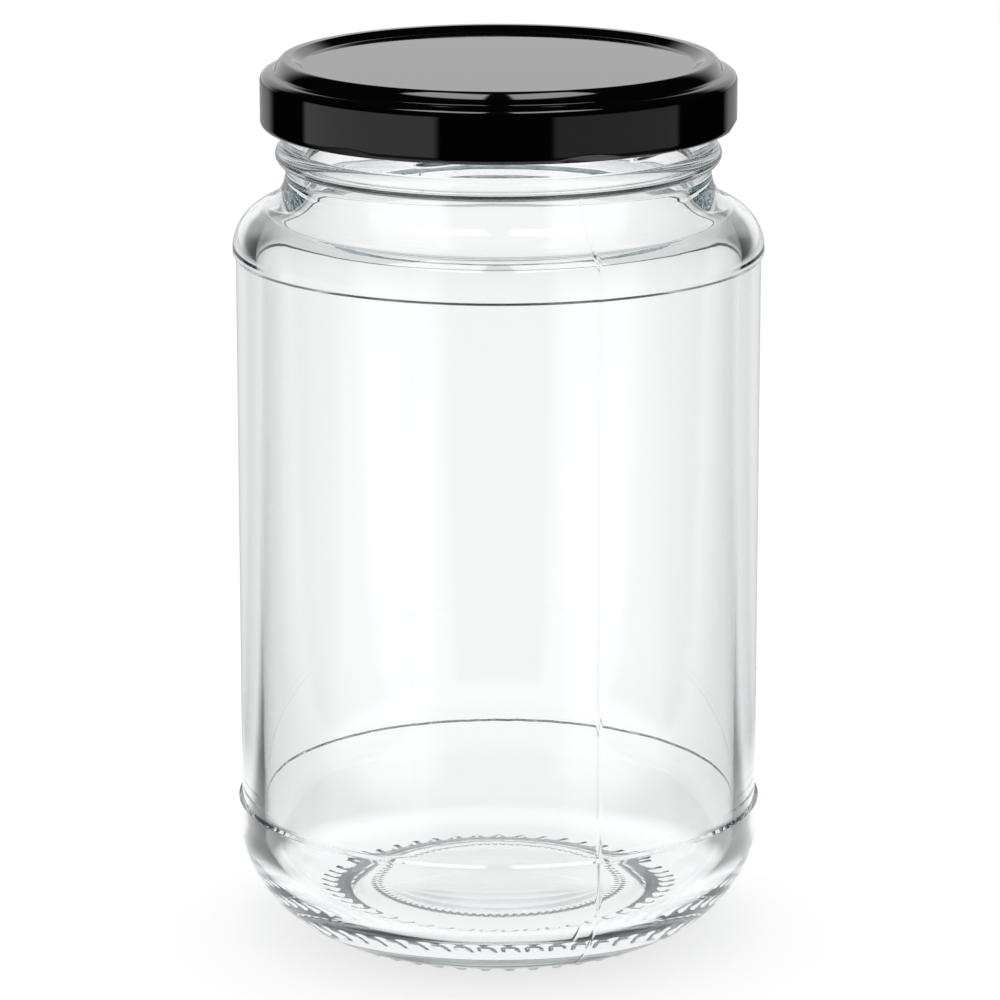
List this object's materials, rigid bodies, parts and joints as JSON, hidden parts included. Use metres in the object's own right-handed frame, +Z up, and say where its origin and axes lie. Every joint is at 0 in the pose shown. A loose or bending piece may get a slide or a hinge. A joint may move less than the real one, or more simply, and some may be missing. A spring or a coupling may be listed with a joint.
{
  "type": "round glass jar with twist-off cap",
  "caption": "Empty round clear glass food jar with a sunken label panel, threaded neck and bumper bands, closed by a black lacquered metal twist-off cap.",
  "frame": {"origin": "centre of the ring the jar stands on", "axes": "+Z up along the jar's axis, -Y towards the side shown"},
  "size_m": [0.0815, 0.0814, 0.1368],
  "materials": {
    "glass": "clear flint glass, fire polished",
    "cap": "gloss black lacquer on tinplate",
    "seal": "matt sealing compound"
  },
  "bodies": {
    "root": {"glass_jar": "glass", "lid_cap": "cap", "lid_seal": "seal"}
  },
  "joints": []
}
